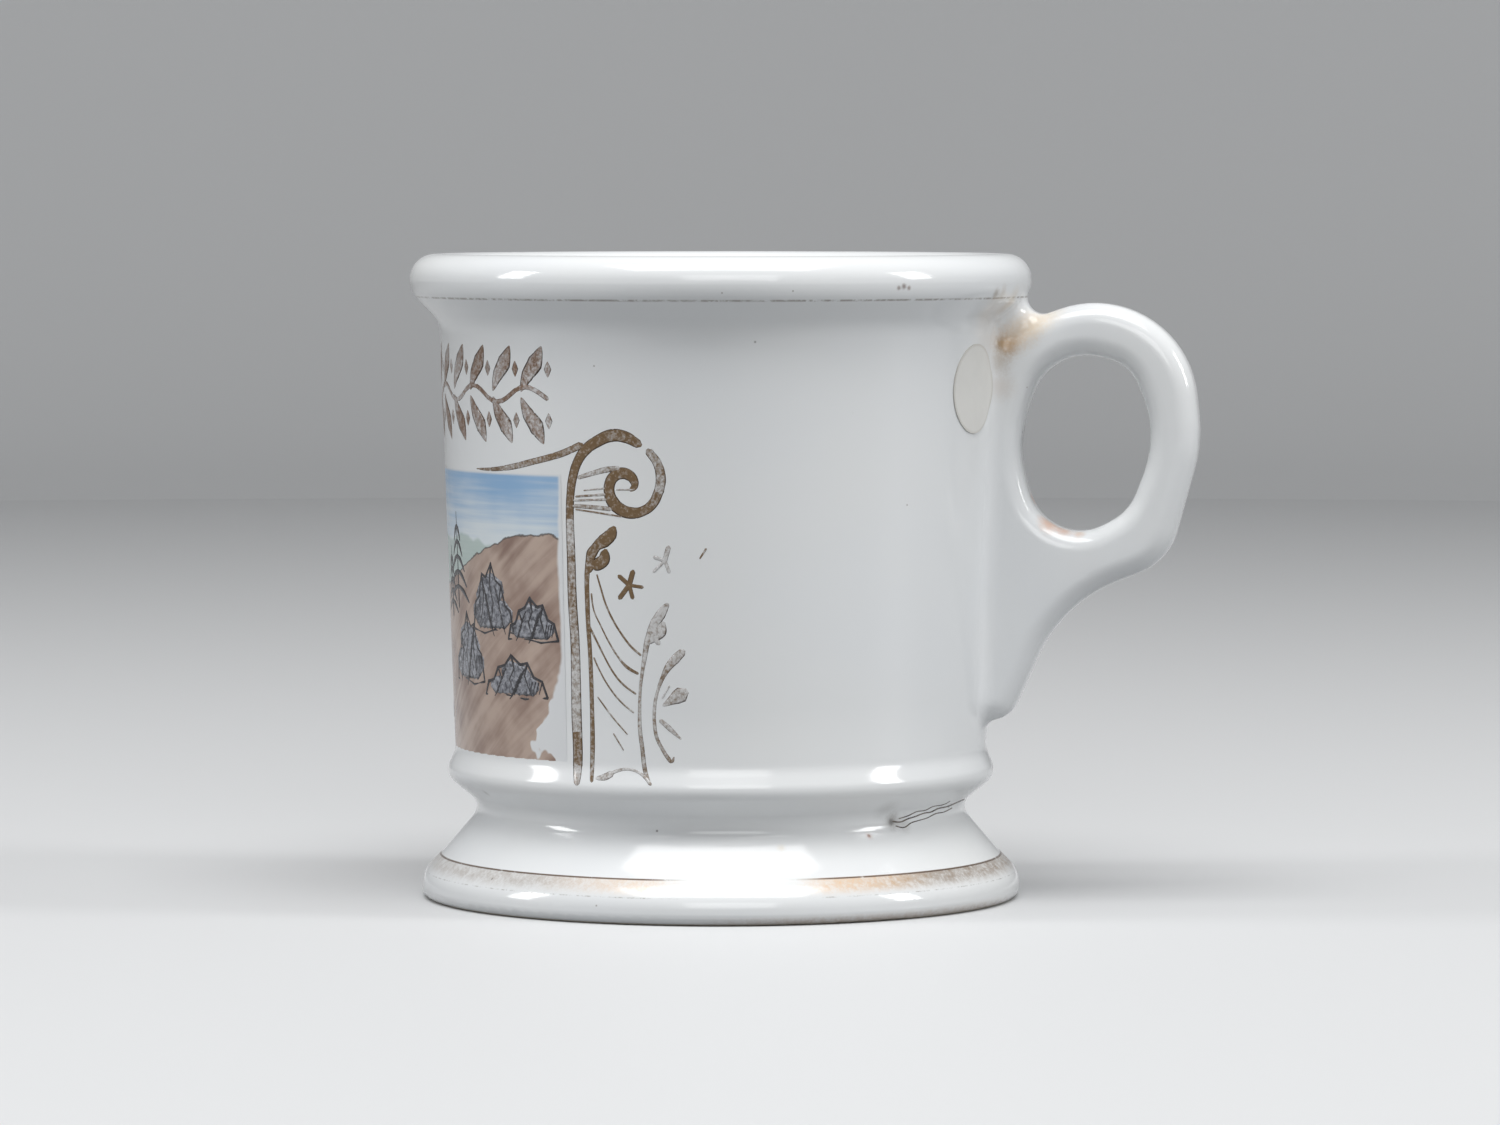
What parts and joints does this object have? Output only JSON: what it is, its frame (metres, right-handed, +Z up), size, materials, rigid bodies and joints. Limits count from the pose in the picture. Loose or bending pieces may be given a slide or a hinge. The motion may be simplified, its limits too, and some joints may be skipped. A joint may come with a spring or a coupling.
{
  "type": "occupational shaving mug",
  "caption": "Thick glazed porcelain shaving mug with a rolled rim, beaded waist, flared foot and ring handle, worn gilt ornament and a small round paper label.",
  "frame": {"origin": "on the mug's axis, at the plane that the foot ring stands on", "axes": "+Z up along the mug's axis, +X towards the handle"},
  "size_m": [0.114, 0.0896, 0.0926],
  "materials": {
    "porcelain": "clear gloss glaze over white porcelain, with worn gilding and overglaze paint",
    "label_paper": "smooth matt self-adhesive paper"
  },
  "bodies": {
    "root": {"mug": "porcelain", "paper_label": "label_paper"}
  },
  "joints": []
}
